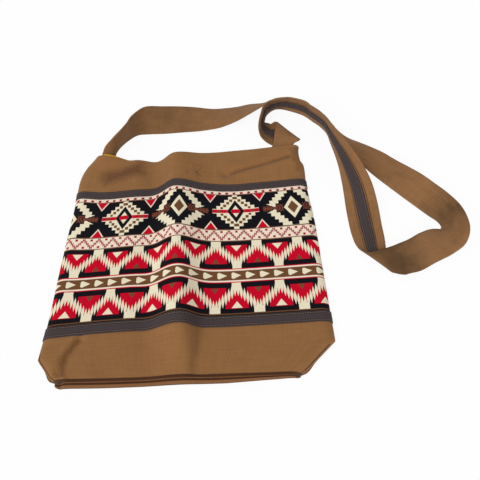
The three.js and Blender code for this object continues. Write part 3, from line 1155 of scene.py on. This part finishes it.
# A flat layer of the back, as a grid between the bag's two edges.
def backGrid(columns, rows, inset, lower, mouthDrop, height):
    u, v = gridShares(columns, rows)
    y = lerp(lower(u), mouth(u) - mouthDrop, v)
    x = lerp(leftEdge(y) + inset, rightEdge(y) - inset, u)
    places = np.stack([acrossBag(u) + 0.0 * v, y], -1)
    return np.stack([x, y, height + 0.0 * x], -1), places


def backStart(u):
    return bottomSeam(u) + baseShape["depth"] + cloth["clearance"]


def liningStart(u):
    return bottomSeam(u) + cloth["liningStop"]


backPanel = {"mouthDrop": 2.0, "flat": (0.38, 0.32), "area": 0.108}
grid, places = backGrid(120, 100, 0.0, backStart, backPanel["mouthDrop"], cloth["canvas"] / 2)
backCloth = clothObject("backCloth", grid, cloth["canvas"], places, canvasMade)
finishPiece(backCloth, "back_panel")

backLiningShape = {"mouthDrop": 3.0, "flat": (0.37, 0.37), "area": 0.125}
liningLevel = cloth["canvas"] + cloth["clearance"] + cloth["lining"] / 2
grid, places = backGrid(100, 100, cloth["liningInset"], liningStart, backLiningShape["mouthDrop"],
                        liningLevel)
backLining = clothObject("backLiningCloth", grid, cloth["lining"], places, liningMade)
finishPiece(backLining, "lining_back")

# The front's lining follows the front and its valleys, and stays above the back's lining. It shows a
# little past the mouth, most at two places: their share across the bag, their reach and how far it shows.
frontLiningShape = {
    "shows": 0.8,
    "showsMost": ((0.07, 0.06, 3.8), (0.64, 0.05, 2.4)),
    "room": 1.2,
    "flat": (0.39, 0.375),
    "area": 0.13,
}
liningDrop = (cloth["canvas"] + cloth["lining"]) / 2 + cloth["clearance"] + cloth["liningSlack"]


def liningGrid(columns, rows):
    u, v = gridShares(columns, rows)
    share = spread(u) + 0.0 * v
    edge = frontLiningShape["shows"]
    for place, reach, most in frontLiningShape["showsMost"]:
        edge = edge + most * hump(share - place, reach)
    y = lerp(liningStart(share), mouth(share) + edge, v)
    inset = cloth["liningInset"]
    x = lerp(leftEdge(y) + inset, rightEdge(y) - inset, share)
    z = frontHeight(x, y, inset, liningDrop)
    pressed = np.maximum(0.0, -allCreases(x, y))
    z = z - np.minimum(pressed, np.maximum(0.0, z - liningLevel - frontLiningShape["room"]))
    return np.stack([x, y, z], -1), plainPlace(share, y)


grid, places = liningGrid(columns=120, rows=100)
frontLining = clothObject("frontLiningCloth", grid, cloth["lining"], places, liningMade)
finishPiece(frontLining, "lining_front")
print("back, base and lining made")

# The strap's route, from the right corner of the mouth to the left one. Each row is a line across the
# strap: its middle as x, y and z, its heading and rise in degrees, and its length. The lines slant where
# the strap folds over or turns, and are shorter where it is sewn in.
strapRoute = np.array([
    (157, 168, 5, 0, 0, 28), (159, 182, 5.5, 0, 0, 29), (167, 193, 8.5, -4, 0, 35),
    (172, 201, 11, -14, 1, 41), (174, 209, 12, -30, -1, 44), (177, 216, 11, -43, -4, 49),
    (178, 221, 9, -50, -5, 53), (175, 223, 6.5, -54, -5, 56), (170, 222, 6, -61, -6, 54),
    (156, 218, 6, -79, -7, 48), (150, 216, 7, -90, -5, 47), (143, 219, 9, -100, 1, 47),
    (136, 223, 13, -109, 13, 46), (133, 229, 17, -112, 29, 47), (133, 237, 19.5, -111, 44, 48),
    (136, 246, 22, -111, 56, 48), (140, 258, 23, -109, 63, 47), (148, 268, 23, -99, 66, 46),
    (158, 274, 22.5, -90, 63, 46), (168, 277, 22.5, -82, 62, 47), (182, 276, 22.5, -81, 65, 46),
    (204, 265, 23, -95, 69, 46), (214, 256, 23.5, -108, 70, 46), (222, 246, 22, 40, 109, 46),
    (231, 235, 22, 30, 109, 46), (241, 217, 22, 16, 106, 46), (246, 194, 23, 6, 99, 46),
    (252, 167, 23, 2, 90, 46), (258, 139, 22, -1, 77, 46), (263, 111, 20, -4, 60, 46),
    (267, 80, 14, -3, 40, 46), (268, 49, 8, -3, 22, 46), (268, 15, 3, -2, 6, 46), (268, -6, 2.5, -5, 2, 45),
    (267, -25, 2.5, -24, -1, 44), (268, -38, 3.5, -37, -3, 45), (270, -47, 6, -46, -4, 45),
    (278, -52, 8.5, -53, -4, 44), (296, -52, 12, -75, -7, 44), (306, -49.5, 13, -83, -10, 45),
    (323, -45, 13, -76, -18, 46), (344, -35, 13, -64, -20, 46), (367, -25, 11, -60, -8, 46),
    (384, -17, 11, -50, 12, 45), (393, -8, 13.5, -31, 30, 40), (396, 5, 15, -6, 38, 37),
    (393, 22, 15, 20, 37, 39), (383, 42, 13, 34, 28, 44), (370, 62, 12, 36, 24, 46),
    (352, 86, 12, 36, 24, 46), (325, 126, 7, 33, 10, 46), (311, 147, 6, 32, 2, 46),
    (293, 166, 9, 30, -12, 46), (277, 184, 14, 27, -32, 46), (263, 200, 18, 24, -48, 46),
    (252, 218, 19, 24, -56, 46), (242, 237, 19, 34, -57, 46), (229, 255, 19, 44, -56, 46),
    (215, 269, 19, 50, -56, 46), (199, 280, 19, 62, -56, 46), (179, 288, 18, 82, -52, 46),
    (159, 290, 17, 95, -48, 46), (141, 287, 14.5, 101, -40, 46), (123, 284, 12, 108, -30, 46),
    (104, 277, 11, 111, -22, 46), (82, 270, 9, 108, -10, 46), (54, 265, 7, 104, 4, 46),
    (22, 262, 10, 99, 20, 46), (-8, 260, 13, 94, 29, 46), (-36, 257, 16, 93, 38, 46),
    (-64, 252, 20, 98, 60, 46), (-84, 239, 22, 110, 92, 46), (-96, 224, 22, 130, 103, 46),
    (-106, 210, 22, 140, 106, 46), (-116, 199, 19, 142, 96, 36), (-125, 190, 12, 150, 60, 24),
    (-129, 180, 8, 162, 18, 19), (-131, 170, 6.5, 172, 6, 19), (-132, 160, 6, 176, 2, 19),
], float)

strap = {"width": 46.0, "thickness": 2.4, "tapeWidth": 16.0, "length": 1.438, "steps": 10}


# A smooth line through all the rows of a table, as a function of a share from 0 to 1.
def smoothRows(rows, share):
    padded = np.concatenate([[2 * rows[0] - rows[1]], rows, [2 * rows[-1] - rows[-2]]])
    place = np.asarray(share, float) * (len(rows) - 1)
    i = np.clip(np.floor(place).astype(int), 0, len(rows) - 2)
    t = (place - i)[:, None]
    before, here, ahead, beyond = padded[i], padded[i + 1], padded[i + 2], padded[i + 3]
    start = 0.5 * (ahead - before)
    end = 0.5 * (beyond - here)
    return ((2 * t**3 - 3 * t**2 + 1) * here + (t**3 - 2 * t**2 + t) * start
            + (-2 * t**3 + 3 * t**2) * ahead + (t**3 - t**2) * end)


# One edge of the strap, on a smooth curve that stays on or above the ground.
def strapEdge(side, places):
    heading, rise = np.radians(strapRoute[:, 3]), np.radians(strapRoute[:, 4])
    level = np.cos(rise)
    across = np.stack([level * np.cos(heading), level * np.sin(heading), np.sin(rise)], -1)
    width = strapRoute[:, 5]
    reach = np.abs(across[:, 2]) * width / 2 + strap["thickness"] * np.abs(level) / 2
    middle = strapRoute[:, :3].copy()
    middle[:, 2] = np.maximum(middle[:, 2], reach + cloth["clearance"])
    return smoothRows(middle + across * (side * width / 2)[:, None], places)


def strapGrid(columns, width):
    places = np.linspace(0.0, 1.0, (len(strapRoute) - 1) * strap["steps"] + 1)
    start, end = strapEdge(-1.0, places), strapEdge(1.0, places)
    share = 0.5 + np.linspace(-0.5, 0.5, columns + 1) * (width / strap["width"])
    grid = lerp(start[:, None, :], end[:, None, :], share[None, :, None])
    middle = (start + end) / 2
    run = np.concatenate([[0.0], np.cumsum(np.linalg.norm(np.diff(middle, axis=0), axis=1))])
    offset = (share - 0.5)[None, :] * strap["width"]
    place = np.stack([offset + 0.0 * run[:, None], run[:, None] + 0.0 * offset], -1)
    return grid, place


grid, place = strapGrid(columns=16, width=strap["width"])
strapCloth = clothObject("strapCloth", grid, strap["thickness"], place, strapMade,
                         underShift=strapLook["innerShift"])
finishPiece(strapCloth, "shoulder_strap")

# The strap's tape lies along the middle of its inner face.
tapeDrop = -(strap["thickness"] + cloth["tape"]) / 2 - 2 * cloth["clearance"]
grid, place = strapGrid(columns=6, width=strap["tapeWidth"])
place = np.stack([place[..., 1], place[..., 0] + strap["tapeWidth"] / 2], -1)
strapTape = clothObject("strapTapeCloth", grid, cloth["tape"], place, strapTapeMade, tapeDrop)
finishPiece(strapTape, "strap_tape")
print("strap made, length", round(float(place[-1, 0, 0])), "mm")

# A pale floor that also glows, so that its shadows are faint.
floorLook = {"colour": (255, 255, 255), "glow": 0.92, "reach": 3000.0, "drop": 0.2}
white = (1.0, 1.0, 1.0, 1.0)


# 1 for what the camera sees, straight or through a shiny surface, and 0 for light on its way elsewhere.
def seenByCamera(tree):
    rays = tree.node("ShaderNodeLightPath")
    return rays + rays.output("Is Glossy Ray") + rays.output("Is Transmission Ray")


def addFloor(look):
    tree = materialTree("paleFloor")
    diffuse = tree.node("ShaderNodeBsdfDiffuse", None, {"Color": paint(*look["colour"])})
    glow = tree.node("ShaderNodeEmission", None, {"Color": white, "Strength": 1.0})
    share = seenByCamera(tree) * look["glow"]
    both = tree.node("ShaderNodeMixShader", None, {0: share, 1: diffuse, 2: glow})
    tree.node("ShaderNodeOutputMaterial", None, {"Surface": both})
    corners = ((-1.0, -1.0), (1.0, -1.0), (1.0, 1.0), (-1.0, 1.0))
    points = np.array([(x * look["reach"], y * look["reach"], -look["drop"]) for x, y in corners])
    floor = meshObject("paleFloor", points, np.array([[0, 1, 2, 3]]), points[:, :2], tree.owner)


addFloor(floorLook)

# A white world that looks plain and lights softly, and one wide sun from above the bag's lower left.
lightLook = {"world": 0.55, "key": 1.75, "keyTurn": (38.0, -38.0), "keySoft": 40.0}


def addLight(look):
    world = bpy.data.worlds.new("studioWorld")
    tree = Tree(world)
    lit = tree.node("ShaderNodeBackground", None, {"Color": white, "Strength": look["world"]})
    plain = tree.node("ShaderNodeBackground", None, {"Color": white, "Strength": 1.0})
    both = tree.node("ShaderNodeMixShader", None, {0: seenByCamera(tree), 1: lit, 2: plain})
    tree.node("ShaderNodeOutputWorld", None, {"Surface": both})
    bpy.context.scene.world = world
    sun = bpy.data.lights.new("softKey", "SUN")
    sun.energy = look["key"]
    sun.angle = math.radians(look["keySoft"])
    lamp = bpy.data.objects.new("softKey", sun)
    lamp.rotation_euler = (math.radians(look["keyTurn"][0]), math.radians(look["keyTurn"][1]), 0.0)
    bpy.context.scene.collection.objects.link(lamp)


addLight(lightLook)
bpy.context.scene.view_settings.view_transform = "Standard"
print("stage and light made")
